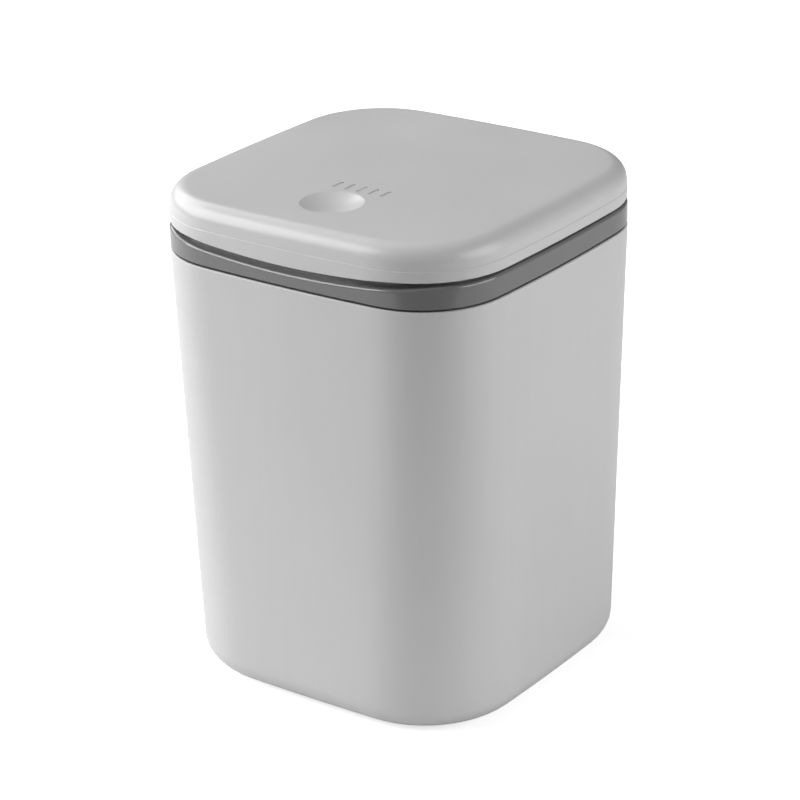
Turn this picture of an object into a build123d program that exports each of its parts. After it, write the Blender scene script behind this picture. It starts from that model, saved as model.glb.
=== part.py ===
from build123d import *
from dataclasses import dataclass
from math import atan2, cos, degrees, hypot, pi, sin, sqrt
import os

# Push top countertop bin: a tapered bucket, a collar that drops into its rim, and a hinged lid
# that a push latch holds at the front. Millimetres, +Z up. The origin lies on the surface that
# the bin stands on, under its middle. The front, with the thumb dimple, faces -Y, and the hinge
# is at +Y.

# ---- Bucket ----
foot_proud = 0.6          # how far the pads stand out below the base
body_height = 166.1       # base to rim
rim_half = 70.0           # half the width across the sides, at the rim
rim_corner = 32.3         # corner radius at the rim
rim_bow = 730.0           # radius of the slightly bowed sides at the rim
base_inset = 2.7          # the sides lean in this far from rim to base
base_corner = 39.1
base_bow = 1190.0
body_wall = 2.0
floor_thickness = 2.4
base_edge_radius = 9.6
rim_edge_radius = 0.7
foot_radius = 7.0
foot_thickness = 1.7
foot_edge = 0.3           # chamfer round a pad's foot
foot_inset = 31.3         # pad centres inside the base's sides
foot_fit = 0.1            # gap round a pad in its pocket
base_recess_radius = 24.0
base_recess_depth = 0.8

# ---- Collar ----
shadow_gap = 0.8          # open groove between rim and collar
band_height = 8.1         # visible height of the collar
collar_inset = 0.1        # the band's face inside the rim's
band_edge_radius = 1.1
band_foot_chamfer = 0.4
seat_inset = 1.3          # the collar's seat lies this far inside the rim's outer edge
neck_inset = 3.4          # ledge width between band and neck
neck_height = 3.4         # neck above the ledge
neck_wall = 1.8
neck_edge_radius = 0.5
skirt_depth = 12.0        # how far the skirt drops into the bucket
skirt_clearance = 0.4
dip_depth = 3.3           # the band's top edge sinks this far at the front
dip_radius = 490.0
smile_blend = 40.0        # softens both ends of the front dip and of the lid's lip
deck_drop = 1.0           # latch deck below the ledge
deck_thickness = 2.0
deck_half = 24.0
deck_reach = 15.5         # deck from the mouth's front wall inwards
deck_corner_radius = 5.2
gusset_height = 9.0
gusset_thickness = 1.6
shelf_half = 54.0         # the neck is left out over this half width at the back
shelf_thickness = 2.0
shelf_reach = 4.5         # shelf from the mouth's rear wall inwards
rear_relief = 1.0         # shelf and band below the ledge there, where the lid's edge swings past

# ---- Hinge ----
pivot_inset = 4.5         # pin axis inside the collar's rear face
pivot_rise = 4.2          # pin axis above the ledge
pin_radius = 1.0
pin_press = 0.02          # radial gap, pin in ear
pin_running = 0.06        # radial gap, pin in knuckle
barrel_radius = 3.2
ear_outer = 38.0
ear_width = 7.8
knuckle_gap = 0.3         # side play between ear and knuckle
knuckle_width = 9.6
guard_half = 19.4         # low wall that hides the springs from behind
guard_thickness = 1.0
guard_inset = 1.0         # guard's rear face inside the collar's
notch_play = 1.2          # between the lid's rear notch and the ears
notch_rise = 2.0          # notch edge above the barrels
arm_length = 9.0
arm_rise = 0.8            # underside of a knuckle's arm above the pin's axis
spring_wire = 0.45        # radii
spring_coil = 1.95
spring_pitch = 1.4
spring_turns = 5
spring_leg = 8.6
spring_place = 6.4        # first coil from the middle
leg_rest_width = 2.4
leg_gap = 0.2

# ---- Lid ----
lid_gap = 1.5             # ledge to the lid's lower edge
lid_height = 12.95        # lower edge to top
lid_proud = 0.45          # lid's sides outside the collar's
lid_corner = 35.6
lid_bow = 975.0
lid_wall = 2.0
lid_edge_radius = 6.6
lid_foot_radius = 0.4
lip_depth = 2.1           # the lid's lower edge sinks this far at the front
lip_radius = 430.0
dimple_inset = 29.45      # thumb dimple's middle behind the lid's front face
dimple_radius = 12.2
dimple_depth = 2.6
dimple_edge_radius = 1.4
panel_rise = 5.6          # panel's underside above the lid's lower edge
panel_thickness = 1.6
panel_fit = 0.25
boss_radius = 3.0
boss_inset = 25.26        # corner bosses inside the lid's sides
front_boss_inset = 7.3    # front boss behind the lid's front face
screw_radius = 1.0
screw_bite = 0.15         # pilot hole under the screw's radius
screw_fit = 0.15          # clearance hole over the screw's radius
screw_head_radius = 1.9
screw_head_height = 1.3
screw_head_edge = 0.4
screw_slot_depth = 0.6
screw_slot_width = 0.5
screw_length = 4.6
bumper_place = 30.0
bumper_radius = 1.6
bumper_stem_radius = 0.8
bumper_edge = 0.2
press_travel = 1.25       # how far the lid's front edge goes down when pressed
bumper_play = 0.1

# ---- Push latch ----
latch_reach = 7.5         # latch's middle behind the mouth's front wall
bore_wide = 11.6
bore_deep = 6.0
housing_wall = 1.5
channel_wide = 5.0        # cam pin's channel behind the bore
channel_deep = 1.2
housing_height = 25.0     # below the deck's top
housing_fit = 0.3
housing_edge_radius = 0.75
flange_half = 18.0
flange_thickness = 1.2
latch_screw_place = 14.0
slider_fit = 0.2
slider_height = 11.0
slider_seat_drop = 5.6    # slider's seat below the deck's top
jaw_thickness = 1.4
jaw_hook = 0.8
jaw_height = 5.6
striker_half = 2.8        # half width of the arrow head
striker_neck_half = 1.7
striker_depth = 3.6
striker_head_height = 2.2
striker_gap = 0.25        # between head and jaw hooks
striker_play = 0.3        # between the pressed striker and the slider's seat
striker_plate_half = 5.0
striker_plate_thickness = 1.4
striker_plate_end = 2.6   # plate past the front screw
striker_plate_corner = 1.3
latch_spring_wire = 0.35
latch_spring_coil = 1.9
latch_spring_turns = 5
latch_spring_leg = 0.7
latch_spring_gap = 0.1    # to the housing's floor and to the slider
spring_bore_radius = 2.4
spring_bore_deep = 1.6
cam_pin_radius = 0.4
cam_pocket_wide = 5.4
cam_pocket_high = 8.4
cam_pocket_deep = 1.1
cam_pocket_corner = 1.35
cam_pocket_drop = 0.75    # slider's seat to the top of the pocket
heart_lobe_radius = 0.8
heart_lobe_place = 0.75   # lobe centres from the heart's middle
heart_tip_drop = 2.4      # lobe centres above the tip

near_enough = 0.01        # tolerance for picking edges that lie on a level or an outline

# ---- Sizes, places and levels that follow ----
base_half = rim_half - base_inset
foot_place = base_half - foot_inset
collar_half = rim_half - collar_inset
lid_half = collar_half + lid_proud
dimple_place = dimple_inset - lid_half
boss_place = lid_half - boss_inset
mouth_half = collar_half - neck_inset - neck_wall
latch_place = latch_reach - mouth_half
base_z = foot_proud
rim_z = base_z + body_height
band_z = rim_z + shadow_gap
ledge_z = band_z + band_height
neck_z = ledge_z + neck_height
lid_z = ledge_z + lid_gap
top_z = lid_z + lid_height
panel_z = lid_z + panel_rise
panel_top_z = panel_z + panel_thickness
pivot_y = collar_half - pivot_inset
pivot_z = ledge_z + pivot_rise
notch_half = ear_outer + notch_play
notch_z = pivot_z + barrel_radius + notch_rise
shelf_z = ledge_z - rear_relief
deck_z = ledge_z - deck_drop
seat_z = deck_z - slider_seat_drop
# The striker goes down less than the lid's front edge, by their distances from the pin.
press_at_latch = press_travel * (pivot_y - latch_place) / (pivot_y + lid_half)
striker_tip_z = seat_z + striker_play + press_at_latch
slider_foot_z = seat_z - slider_height
housing_floor_z = deck_z - housing_height + housing_wall
latch_spring_room = slider_foot_z + spring_bore_deep - housing_floor_z - 2 * latch_spring_gap
latch_spring_rise = latch_spring_turns + latch_spring_leg / (pi * latch_spring_coil)
latch_spring_pitch = (latch_spring_room - 2 * latch_spring_wire) / latch_spring_rise
front_boss_y = front_boss_inset - lid_half
far = 2 * collar_half     # longer than any cut needs


@dataclass
class Outline:
    """Square with bowed sides and round corners, made of eight tangent arcs."""
    half: float
    corner: float
    bow: float

    def __post_init__(self):
        rise = self.bow - self.half
        self.centre = (sqrt(2 * (self.bow - self.corner) ** 2 - rise ** 2) - rise) / 2
        self.stretch = self.bow / (self.bow - self.corner)

    def inset(self, gap):
        return Outline(self.half - gap, self.corner - gap, self.bow - gap)

    def face(self, z):
        rise = self.bow - self.half
        near = self.centre * self.stretch
        high = (self.centre + rise) * self.stretch - rise
        tip = self.centre + self.corner / sqrt(2)
        arcs = []
        for quarter in range(4):
            turn = Pos(0, 0, z) * Rotation(0, 0, 90 * quarter)
            arcs.append(turn * ThreePointArc((-near, high), (0, self.half), (near, high)))
            arcs.append(turn * ThreePointArc((near, high), (tip, tip), (high, near)))
        return make_face(arcs)

    def block(self, z_low, z_high):
        return extrude(self.face(z_low), z_high - z_low)

    def beyond(self, point):
        """Distance of a point outside the outline, negative inside."""
        near, high = sorted((abs(point.X), abs(point.Y)))
        if near < self.centre * self.stretch:
            return hypot(near, high + self.bow - self.half) - self.bow
        return hypot(near - self.centre, high - self.centre) - self.corner


def ring(outer, inner, z_low, z_high):
    return extrude(outer.face(z_low) - inner.face(z_low), z_high - z_low)


def body_at(z):
    """The bucket's outline at a height, between base and rim."""
    part = (z - base_z) / body_height
    return Outline(base_half + part * (rim_half - base_half),
                   base_corner + part * (rim_corner - base_corner),
                   base_bow + part * (rim_bow - base_bow))


def box_between(x, y, z):
    """Box from three (low, high) pairs."""
    middle = [(low + high) / 2 for low, high in (x, y, z)]
    return Pos(*middle) * Box(x[1] - x[0], y[1] - y[0], z[1] - z[0])


def rod_x(radius, x_low, x_high, y, z):
    """Cylinder along X."""
    return Pos((x_low + x_high) / 2, y, z) * Rotation(0, 90, 0) * Cylinder(radius, x_high - x_low)


def rod_z(radius, x, y, z_low, z_high):
    """Cylinder along Z."""
    return Pos(x, y, (z_low + z_high) / 2) * Cylinder(radius, z_high - z_low)


def smile(z, depth, radius):
    """Everything above level z in the front half, with a shallow arc sunk into the level."""
    reach = sqrt(2 * depth * radius - depth ** 2)
    line = Polyline((-far, 0), (-far, lid_height), (far, lid_height), (far, 0), (reach, 0))
    left = Line((-reach, 0), (-far, 0))
    arc = ThreePointArc((reach, 0), (0, -depth), (-reach, 0))
    profile = make_face([*line.edges(), arc, left])
    ends = [v for v in profile.vertices() if abs(abs(v.X) - reach) < near_enough]
    profile = fillet(ends, smile_blend)
    middle = Plane(origin=(0, 0, z), x_dir=(1, 0, 0), z_dir=(0, -1, 0))
    return extrude(middle * profile, far)


rim_outline = Outline(rim_half, rim_corner, rim_bow)
base_outline = Outline(base_half, base_corner, base_bow)
band_outline = rim_outline.inset(collar_inset)
neck_outline = band_outline.inset(neck_inset)
mouth_outline = neck_outline.inset(neck_wall)
skirt_outline = body_at(rim_z - skirt_depth).inset(body_wall + skirt_clearance)
lid_outline = Outline(lid_half, lid_corner, lid_bow)
cavity_outline = lid_outline.inset(lid_wall)
panel_outline = cavity_outline.inset(panel_fit)
corners = [(-1, -1), (1, -1), (-1, 1), (1, 1)]
foot_places = [(x * foot_place, y * foot_place) for x, y in corners]
lid_screw_places = [(x * boss_place, y * boss_place) for x, y in corners]
lid_screw_places.append((0, front_boss_y))


def outer_body():
    bucket = loft([base_outline.face(base_z), rim_outline.face(rim_z)], ruled=True)
    bucket = fillet(bucket.edges().group_by(Axis.Z)[0], base_edge_radius)
    floor_z = base_z + floor_thickness
    floor_outline = body_at(floor_z).inset(body_wall)
    inside = loft([floor_outline.face(floor_z), rim_outline.inset(body_wall).face(rim_z)], ruled=True)
    inside = fillet(inside.edges().group_by(Axis.Z)[0], base_edge_radius - body_wall)
    bucket -= inside
    land = bucket.faces().sort_by(Axis.Z)[-1]
    bucket = fillet(land.outer_wire().edges(), rim_edge_radius)
    bucket -= rod_z(base_recess_radius, 0, 0, base_z, base_z + base_recess_depth)
    pocket_z = foot_thickness
    for x, y in foot_places:
        bucket -= rod_z(foot_radius + foot_fit, x, y, base_z, pocket_z)
        bucket += rod_z(foot_radius + foot_fit + body_wall, x, y, pocket_z, pocket_z + body_wall)
    return bucket


def foot_pad(x, y):
    pad = rod_z(foot_radius, x, y, 0, foot_thickness)
    return chamfer(pad.edges().group_by(Axis.Z)[0], foot_edge)


def collar_band():
    """The visible ring, with its sunk front edge and its seat on the rim."""
    band = ring(band_outline, mouth_outline, band_z, ledge_z)
    band -= smile(ledge_z, dip_depth, dip_radius) - neck_outline.block(band_z, ledge_z + lid_height)
    half_up = (band_z + ledge_z) / 2
    outer = [e for e in band.edges() if abs(band_outline.beyond(e @ 0.5)) < near_enough]
    band = fillet([e for e in outer if (e @ 0.5).Z > half_up], band_edge_radius)
    outer = [e for e in band.edges() if abs(band_outline.beyond(e @ 0.5)) < near_enough]
    band = chamfer([e for e in outer if abs((e @ 0.5).Z - band_z) < near_enough], band_foot_chamfer)
    band += ring(rim_outline.inset(seat_inset), mouth_outline, rim_z, band_z)
    return band + ring(skirt_outline, mouth_outline, rim_z - skirt_depth, rim_z)


def latch_deck():
    """Shelf behind the mouth's front wall, with the latch's window and its screw bosses."""
    wall_y = -mouth_half
    edge_y = wall_y + deck_reach
    deck = box_between((-deck_half, deck_half), (wall_y - neck_wall, edge_y),
                       (deck_z - deck_thickness, deck_z))
    deck = fillet([e for e in deck.edges().filter_by(Axis.Z) if (e @ 0.5).Y > wall_y],
                  deck_corner_radius)
    for side in (-1, 1):
        deck += rod_z(boss_radius, side * latch_screw_place, latch_place,
                      deck_z - screw_length - housing_wall, deck_z)
        x = side * (deck_half - deck_corner_radius - gusset_thickness)
        foot = deck_z - deck_thickness
        web = make_face(Polyline((wall_y - neck_wall, foot), (edge_y - neck_wall, foot),
                                 (wall_y - neck_wall, foot - gusset_height),
                                 (wall_y - neck_wall, foot)))
        plane = Plane(origin=(x, 0, 0), x_dir=(0, 1, 0), z_dir=(1, 0, 0))
        deck += extrude(plane * web, gusset_thickness / 2, both=True)
    return deck & neck_outline.block(rim_z - skirt_depth, ledge_z)


def hinge_ear(side):
    """Round ear on the ledge; the pin is pressed into it."""
    low = side * ear_outer - (ear_width if side > 0 else 0)
    high = low + ear_width
    ear = rod_x(barrel_radius, low, high, pivot_y, pivot_z)
    ear += box_between((low, high), (pivot_y - barrel_radius, pivot_y + barrel_radius),
                       (shelf_z - shelf_thickness, pivot_z))
    return ear


def collar_frame():
    neck = ring(neck_outline, mouth_outline, ledge_z - band_edge_radius, neck_z)
    neck = fillet(neck.edges().group_by(Axis.Z)[-1], neck_edge_radius)
    collar = collar_band() + neck + latch_deck()
    collar -= box_between((-shelf_half, shelf_half), (0, far), (shelf_z, neck_z))
    shelf = box_between((-shelf_half, shelf_half), (mouth_half - shelf_reach, far),
                        (shelf_z - shelf_thickness, shelf_z))
    collar += shelf & neck_outline.block(shelf_z - shelf_thickness, shelf_z)
    guard_y = collar_half - guard_inset
    collar += box_between((-guard_half, guard_half), (guard_y - guard_thickness, guard_y),
                          (shelf_z - shelf_thickness, pivot_z + barrel_radius))
    shelf_y = mouth_half - shelf_reach
    leg_low = pivot_z - spring_coil - spring_wire - leg_gap
    for side in (-1, 1):
        collar += hinge_ear(side)
        leg_x = side * spring_place
        collar += box_between((leg_x - leg_rest_width / 2, leg_x + leg_rest_width / 2),
                              (shelf_y, shelf_y + leg_rest_width),
                              (shelf_z - shelf_thickness, leg_low))
        collar -= rod_z(screw_radius - screw_bite, side * latch_screw_place, latch_place,
                        deck_z - screw_length, deck_z)
    collar -= rod_x(pin_radius + pin_press, -far, far, pivot_y, pivot_z)
    wide = bore_wide / 2 + housing_wall + housing_fit
    front, back = housing_span()
    return collar - box_between((-wide, wide), (front - housing_fit, back + housing_fit),
                                (rim_z - skirt_depth, deck_z))


def housing_span():
    """Front and back of the latch housing, on Y."""
    front = latch_place - bore_deep / 2 - housing_wall
    back = latch_place + bore_deep / 2 + channel_deep + housing_wall
    return front, back


def latch_housing():
    front, back = housing_span()
    foot_z = deck_z - housing_height
    wide = bore_wide / 2 + housing_wall
    housing = box_between((-wide, wide), (front, back), (foot_z, deck_z))
    housing = fillet(housing.edges().filter_by(Axis.Z), housing_edge_radius)
    housing += box_between((-flange_half, flange_half), (front, back),
                           (deck_z, deck_z + flange_thickness))
    ends = [e for e in housing.edges().filter_by(Axis.Z) if abs((e @ 0.5).X) > latch_screw_place]
    housing = fillet(ends, screw_head_radius)
    top = deck_z + flange_thickness
    housing -= box_between((-bore_wide / 2, bore_wide / 2),
                           (latch_place - bore_deep / 2, latch_place + bore_deep / 2),
                           (housing_floor_z, top))
    housing -= box_between((-channel_wide / 2, channel_wide / 2), (latch_place, back - housing_wall),
                           (housing_floor_z, deck_z))
    eye = Pos(0, back - housing_wall / 2, cam_pin_foot_z()) * Rotation(90, 0, 0)
    housing -= eye * Cylinder(cam_pin_radius + pin_running, housing_wall)
    for side in (-1, 1):
        housing -= rod_z(screw_radius + screw_fit, side * latch_screw_place, latch_place, deck_z, top)
    return housing


def cam_pin_foot_z():
    return deck_z - housing_height + 2 * housing_wall


def slider_faces():
    """Half width, front and back of the slider."""
    half = bore_wide / 2 - slider_fit
    return half, latch_place - bore_deep / 2 + slider_fit, latch_place + bore_deep / 2 - slider_fit


def heart_notch_z():
    """Level where the cam pin rests in the heart's notch."""
    return seat_z - cam_pocket_high / 2 - cam_pin_radius


def latch_slider():
    half, front, back = slider_faces()
    slider = box_between((-half, half), (front, back), (slider_foot_z, seat_z))
    for side in (-1, 1):
        hook_in = striker_half + striker_gap
        jaw = make_face(Polyline((half, seat_z), (half, seat_z + jaw_height),
                                 (hook_in + jaw_hook, seat_z + jaw_height),
                                 (hook_in, seat_z + jaw_height - jaw_hook),
                                 (hook_in, seat_z + jaw_height - 2 * jaw_hook),
                                 (half - jaw_thickness, seat_z + jaw_height - 2 * jaw_hook),
                                 (half - jaw_thickness, seat_z), (half, seat_z)))
        plane = Plane(origin=(0, front, 0), x_dir=(side, 0, 0), z_dir=(0, -side, 0))
        slider += extrude(plane * jaw, -side * (back - front))
    slider -= rod_z(spring_bore_radius, 0, latch_place, slider_foot_z,
                    slider_foot_z + spring_bore_deep)
    pocket_z = seat_z - cam_pocket_drop - cam_pocket_high / 2
    pocket = Pos(0, back, pocket_z) * Box(cam_pocket_wide, 2 * cam_pocket_deep, cam_pocket_high)
    pocket = fillet(pocket.edges().filter_by(Axis.Y), cam_pocket_corner)
    lobes_z = heart_notch_z() - sqrt((heart_lobe_radius + cam_pin_radius) ** 2 - heart_lobe_place ** 2)
    heart = Polygon((0, -heart_tip_drop), (heart_lobe_place + heart_lobe_radius, 0),
                    (-heart_lobe_place - heart_lobe_radius, 0), align=None)
    for side in (-1, 1):
        heart += Pos(side * heart_lobe_place, 0) * Circle(heart_lobe_radius)
    plane = Plane(origin=(0, back, lobes_z - pin_running), x_dir=(1, 0, 0), z_dir=(0, -1, 0))
    return slider - (pocket - extrude(plane * heart, 2 * cam_pocket_deep))


def latch_cam_pin():
    """Bent wire: foot in the housing's eye, straight shank, tip in the heart's notch."""
    _, _, slider_back = slider_faces()
    _, back = housing_span()
    shank_y = latch_place + bore_deep / 2 + cam_pin_radius + pin_running
    foot_z = cam_pin_foot_z()
    tip_y = slider_back - cam_pocket_deep + pin_running
    route = FilletPolyline((0, back - pin_running, foot_z), (0, shank_y, foot_z),
                           (0, shank_y, heart_notch_z()), (0, tip_y, heart_notch_z()),
                           radius=2 * cam_pin_radius)
    section = Plane(origin=route @ 0, z_dir=route % 0) * Circle(cam_pin_radius)
    return sweep(section, path=route)


def biarc(start, start_way, end, end_way):
    """Two arcs that meet tangentially, between two points with given directions."""
    step = end - start
    ways = start_way + end_way
    blunt = 2 * (1 - start_way.dot(end_way))
    along = step.dot(ways)
    arm = (sqrt(along ** 2 + blunt * step.dot(step)) - along) / blunt
    joint = (start + start_way * arm + end - end_way * arm) * 0.5
    first = TangentArc(start, joint, tangent=start_way)
    return [first, TangentArc(joint, end, tangent=first % 1)]


def coil(radius, pitch, turns, leg, start_angle):
    """Route of a round coil about X, from two straight legs; quarter turns as biarcs."""
    def place(angle):
        return Vector(pitch * angle / (2 * pi), radius * cos(angle + start_angle),
                      radius * sin(angle + start_angle))

    def way(angle):
        return Vector(pitch / (2 * pi), -radius * sin(angle + start_angle),
                      radius * cos(angle + start_angle)).normalized()

    quarters = round(4 * turns)
    route = [Line(place(0) - way(0) * leg, place(0))]
    for quarter in range(quarters):
        low, high = quarter * pi / 2, (quarter + 1) * pi / 2
        route += biarc(place(low), way(low), place(high), way(high))
    end = quarters * pi / 2
    route.append(Line(place(end), place(end) + way(end) * leg))
    return Wire([edge for piece in route for edge in piece.edges()])


def wound(route, wire):
    section = Plane(origin=route @ 0, z_dir=route % 0) * Circle(wire)
    return sweep(section, path=route)


def hinge_spring(side):
    """Torsion spring round the pin, both legs forward: one on the shelf, one under the panel."""
    route = coil(spring_coil, spring_pitch, spring_turns + 0.5, spring_leg, -pi / 2)
    spring = Pos(spring_place, pivot_y, pivot_z) * wound(route, spring_wire)
    return spring if side > 0 else mirror(spring, Plane.YZ)


def latch_spring():
    route = coil(latch_spring_coil, latch_spring_pitch, latch_spring_turns, latch_spring_leg, 0)
    spring = Rotation(0, -90, 0) * wound(route, latch_spring_wire)
    low = spring.bounding_box().min.Z
    return Pos(0, latch_place, housing_floor_z + latch_spring_gap - low) * spring


def hinge_pin():
    return rod_x(pin_radius, -ear_outer, ear_outer, pivot_y, pivot_z)


def screw(x, y, seat, up):
    """Pan head screw with a cross slot. Its head rests on level seat; the shank goes up or down."""
    head = Pos(0, 0, -screw_head_height / 2) * Cylinder(screw_head_radius, screw_head_height)
    head = chamfer(head.edges().group_by(Axis.Z)[0], screw_head_edge)
    slot_z = screw_slot_depth / 2 - screw_head_height
    for turn in (0, 90):
        slot = Box(2 * screw_radius, screw_slot_width, screw_slot_depth)
        head -= Pos(0, 0, slot_z) * Rotation(0, 0, turn) * slot
    shank = Pos(0, 0, screw_length / 2) * Cylinder(screw_radius - screw_bite, screw_length)
    return Pos(x, y, seat) * Rotation(0 if up else 180, 0, 0) * (head + shank)


def latch_screws():
    head_z = deck_z + flange_thickness
    return [screw(side * latch_screw_place, latch_place, head_z, False) for side in (-1, 1)]


def lid_screws():
    heads = [screw(x, y, panel_z, True) for x, y in lid_screw_places[:-1]]
    return heads + [screw(0, front_boss_y, panel_z - striker_plate_thickness, True)]


def cap(radius, level):
    """Lower cap of a ball about the origin, cut off at a level under its middle."""
    rim = sqrt(radius ** 2 - level ** 2)
    half_way = Vector(radius, 0).rotate(Axis.Z, -90 + degrees(atan2(rim, level)) / 2)
    arc = ThreePointArc((0, -radius), (half_way.X, half_way.Y), (rim, -level))
    sides = Polyline((rim, -level), (0, -level), (0, -radius))
    return revolve(Plane.XZ * make_face([arc, *sides.edges()]), Axis.Z)


def lid_shell():
    block = lid_outline.block(lid_z - lip_depth, top_z)
    block = fillet(block.edges().group_by(Axis.Z)[-1], lid_edge_radius)
    back = box_between((-far, far), (0, far), (lid_z, lid_z + far))
    block &= smile(lid_z, lip_depth, lip_radius) + back
    foot = [e for e in block.edges() if abs(lid_outline.beyond(e @ 0.5)) < near_enough
            and (e @ 0.5).Z < lid_z + near_enough]
    block = fillet(foot, lid_foot_radius)
    ball = (dimple_radius ** 2 + dimple_depth ** 2) / (2 * dimple_depth)
    dimple = Pos(0, dimple_place, top_z - dimple_depth + ball)
    block -= dimple * cap(ball, ball - dimple_depth - lid_wall)
    edge = [e for e in block.edges() if abs((e @ 0.5).Z - top_z) < near_enough
            and hypot((e @ 0.5).X, (e @ 0.5).Y - dimple_place) < dimple_radius + near_enough]
    block = fillet(edge, dimple_edge_radius)
    cavity = cavity_outline.block(lid_z - lip_depth, top_z - lid_wall)
    cavity = fillet(cavity.edges().group_by(Axis.Z)[-1], lid_edge_radius - lid_wall)
    cavity -= dimple * cap(ball + lid_wall, ball - dimple_depth + lid_wall / 2)
    lid = block - cavity
    for x, y in lid_screw_places:
        lid += rod_z(boss_radius, x, y, panel_top_z, top_z - lid_wall)
    for x, y in lid_screw_places:
        lid -= rod_z(screw_radius - screw_bite, x, y, panel_top_z, panel_z + screw_length)
    return lid - box_between((-notch_half, notch_half), (pivot_y - arm_length, far),
                             (lid_z - lip_depth, notch_z))


def lid_panel():
    panel = panel_outline.block(panel_z, panel_top_z)
    panel -= box_between((-notch_half, notch_half), (pivot_y - barrel_radius - notch_play, far),
                         (panel_z, panel_top_z))
    inner = ear_outer - ear_width - knuckle_gap - knuckle_width
    for side in (-1, 1):
        low, high = sorted((side * inner, side * (inner + knuckle_width)))
        panel += rod_x(barrel_radius, low, high, pivot_y, pivot_z)
        panel += box_between((low, high), (pivot_y - arm_length, pivot_y),
                             (pivot_z + arm_rise, panel_top_z))
    panel -= rod_x(pin_radius + pin_running, -far, far, pivot_y, pivot_z)
    for x, y in lid_screw_places:
        panel -= rod_z(screw_radius + screw_fit, x, y, panel_z, panel_top_z)
    for x, y in bumper_places():
        panel -= rod_z(bumper_stem_radius + pin_running, x, y, panel_z, panel_top_z)
    return panel


def bumper_places():
    """Buffers hang over the middle of the neck's front wall."""
    y = pin_running - (neck_outline.half + mouth_half) / 2
    return [(side * bumper_place, y) for side in (-1, 1)]


def lid_bumper(x, y):
    drop = panel_z - neck_z - press_travel - bumper_play
    head = rod_z(bumper_radius, x, y, panel_z - drop, panel_z)
    head = chamfer(head.edges().group_by(Axis.Z)[0], bumper_edge)
    return head + rod_z(bumper_stem_radius, x, y, panel_z, panel_top_z)


def lid_striker():
    """Arrow-headed post on a plate that the front screw clamps under the panel."""
    plate_z = panel_z - striker_plate_thickness
    back_y = latch_place + striker_depth
    plate = box_between((-striker_plate_half, striker_plate_half),
                        (front_boss_y - striker_plate_end, back_y), (plate_z, panel_z))
    plate = fillet(plate.edges().filter_by(Axis.Z), striker_plate_corner)
    shoulder_z = striker_tip_z + striker_head_height
    post = make_face(Polyline((striker_neck_half, plate_z), (striker_neck_half, shoulder_z),
                              (striker_half, shoulder_z - jaw_hook / 2),
                              (striker_half, shoulder_z - jaw_hook),
                              (striker_neck_half / 2, striker_tip_z),
                              (-striker_neck_half / 2, striker_tip_z),
                              (-striker_half, shoulder_z - jaw_hook),
                              (-striker_half, shoulder_z - jaw_hook / 2),
                              (-striker_neck_half, shoulder_z), (-striker_neck_half, plate_z),
                              (striker_neck_half, plate_z)))
    plane = Plane(origin=(0, latch_place, 0), x_dir=(1, 0, 0), z_dir=(0, -1, 0))
    striker = plate + extrude(plane * post, striker_depth / 2, both=True)
    return striker - rod_z(screw_radius + screw_fit, 0, front_boss_y, plate_z, panel_z)


def least_gap(radius, pitch, wire):
    """Least gap from a point of the coil to the turn beside it, measured on points."""
    turns = [pi + 2 * pi * step / 144 for step in range(145)]
    gaps = [sqrt((pitch * a / (2 * pi)) ** 2 + (radius * cos(a) - radius) ** 2
                 + (radius * sin(a)) ** 2) for a in turns]
    return min(gaps) - 2 * wire


pieces = {
    "outer_body": outer_body(),
    "collar_frame": collar_frame(),
    "lid_shell": lid_shell(),
    "lid_panel": lid_panel(),
    "lid_striker": lid_striker(),
    "lid_screws": lid_screws(),
    "latch_housing": latch_housing(),
    "latch_slider": latch_slider(),
    "latch_cam_pin": latch_cam_pin(),
    "latch_spring": latch_spring(),
    "latch_screws": latch_screws(),
    "hinge_pin": hinge_pin(),
    "hinge_spring_left": hinge_spring(-1),
    "hinge_spring_right": hinge_spring(1),
}
for number, (x, y) in enumerate(foot_places, 1):
    pieces[f"foot_pad_{number}"] = foot_pad(x, y)
for name, (x, y) in zip(("left", "right"), bumper_places()):
    pieces[f"lid_bumper_{name}"] = lid_bumper(x, y)

os.makedirs("parts", exist_ok=True)
for name, piece in pieces.items():
    solids = piece if isinstance(piece, list) else [piece]
    export_step(Compound([s for part in solids for s in part.solids()]), f"parts/{name}.step")

print("least gap, hinge spring", round(least_gap(spring_coil, spring_pitch, spring_wire), 2))
print("least gap, latch spring",
      round(least_gap(latch_spring_coil, latch_spring_pitch, latch_spring_wire), 2))
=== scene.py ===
"""Looks of a push top countertop bin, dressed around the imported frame.

Metres, +Z up, origin on the surface that the bin stands on, under its middle. The front, with
the thumb dimple, faces -Y, and the hinge is at +Y. Meshes are made in millimetres and turned to
metres when they are finished.
"""

import logging
import math
from dataclasses import dataclass, field
from enum import Enum

import bmesh
import bpy
from mathutils import Matrix, Vector

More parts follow.
